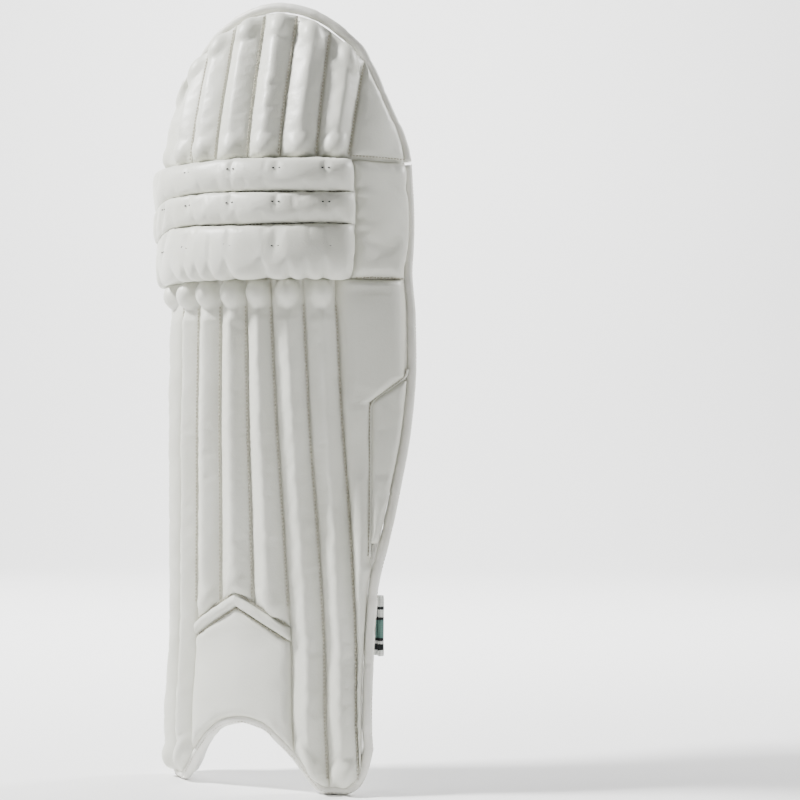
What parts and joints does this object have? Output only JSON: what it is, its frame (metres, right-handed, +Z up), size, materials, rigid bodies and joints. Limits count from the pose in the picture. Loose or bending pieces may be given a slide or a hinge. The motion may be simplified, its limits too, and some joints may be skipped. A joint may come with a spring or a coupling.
{
  "type": "cricket leg pad",
  "caption": "Padded leg guard with vertical bolsters, a jointed thigh flap above rolled knee padding, a side wing, a shoe arch and webbing straps behind.",
  "frame": {"origin": "middle of the base, under the centre of the bounding box", "axes": "+Z up the leg, -Y to the front of the pad, +X to the wing on the outer side of a left leg"},
  "size_m": [0.2632, 0.1406, 0.7232],
  "materials": {
    "white_leather": "smooth coated leather, slightly glossy",
    "foam_board": "dense moulded foam board",
    "white_mesh": "white spacer mesh",
    "grey_mesh": "taupe grey spacer mesh",
    "black_rubber": "matt black",
    "striped_webbing": "woven strap, sea green with black and white stripes",
    "grey_tape": "hook and loop tape"
  },
  "bodies": {
    "shell": {"knee_board": "foam_board", "knee_roll_1": "white_leather", "knee_roll_2": "white_leather", "knee_roll_3": "white_leather", "knee_wing_panel": "white_leather", "knee_lining": "white_mesh", "knee_locator_pad": "white_mesh", "knee_bar_medial": "black_rubber", "knee_bar_lateral": "black_rubber", "knee_badge": "black_rubber", "shin_board": "foam_board", "shin_bolster_1": "white_leather", "shin_bolster_2": "white_leather", "shin_bolster_3": "white_leather", "shin_bolster_4": "white_leather", "shin_bolster_5": "white_leather", "shin_bolster_6": "white_leather", "shin_bolster_7": "white_leather", "chevron_band": "white_leather", "instep_panel": "white_leather", "calf_wing_upper": "white_leather", "calf_wing_lower": "white_leather", "shin_lining": "white_leather", "medial_side_wall": "white_leather", "foot_lining_medial": "white_leather", "foot_lining_centre": "white_leather", "foot_lining_lateral": "white_leather", "spine_pad": "white_leather", "spine_cover": "white_leather", "calf_bolster_medial": "grey_mesh", "mesh_strip_medial": "white_mesh", "mesh_strip_lateral": "white_mesh", "calf_bolster_lateral": "grey_mesh", "medial_binding": "white_leather", "lateral_binding": "white_leather", "foot_binding": "white_leather", "knee_strap_anchor": "striped_webbing", "knee_loop_tape": "grey_tape", "calf_strap_anchor": "striped_webbing", "calf_loop_tape": "grey_tape", "ankle_strap_anchor": "striped_webbing", "ankle_loop_tape": "grey_tape"},
    "thigh_flap": {"thigh_board": "foam_board", "thigh_lining": "white_leather", "thigh_bolster_1": "white_leather", "thigh_bolster_2": "white_leather", "thigh_bolster_3": "white_leather", "thigh_bolster_4": "white_leather", "thigh_bolster_5": "white_leather", "thigh_bolster_6": "white_leather", "thigh_bolster_7": "white_leather", "thigh_wing_panel": "white_leather", "thigh_binding": "white_leather"},
    "knee_strap_band": {"knee_strap": "striped_webbing", "knee_hook_tape": "grey_tape"},
    "calf_strap_band": {"calf_strap": "striped_webbing", "calf_hook_tape": "grey_tape", "calf_strap_patch": "white_leather"},
    "ankle_strap_band": {"ankle_strap": "striped_webbing", "ankle_hook_tape": "grey_tape"}
  },
  "joints": [
    {"name": "knee_flex", "type": "hinge", "parent": "shell", "child": "thigh_flap", "pos_m": [-0.00654, 0.05513, 0.573], "axis": [-1, 0, 0], "range_deg": [0, 8], "stiffness_Nm_per_rad": 6},
    {"name": "knee_strap_swing", "type": "hinge", "parent": "shell", "child": "knee_strap_band", "pos_m": [0.10193, 0.06092, 0.486], "axis": [0, 0, -1], "range_deg": [0, 100]},
    {"name": "calf_strap_swing", "type": "hinge", "parent": "shell", "child": "calf_strap_band", "pos_m": [0.11557, 0.04652, 0.3555], "axis": [0, 0, -1], "range_deg": [0, 100]},
    {"name": "ankle_strap_swing", "type": "hinge", "parent": "shell", "child": "ankle_strap_band", "pos_m": [0.10372, 0.01709, 0.1495], "axis": [0, 0, -1], "range_deg": [0, 100]}
  ]
}
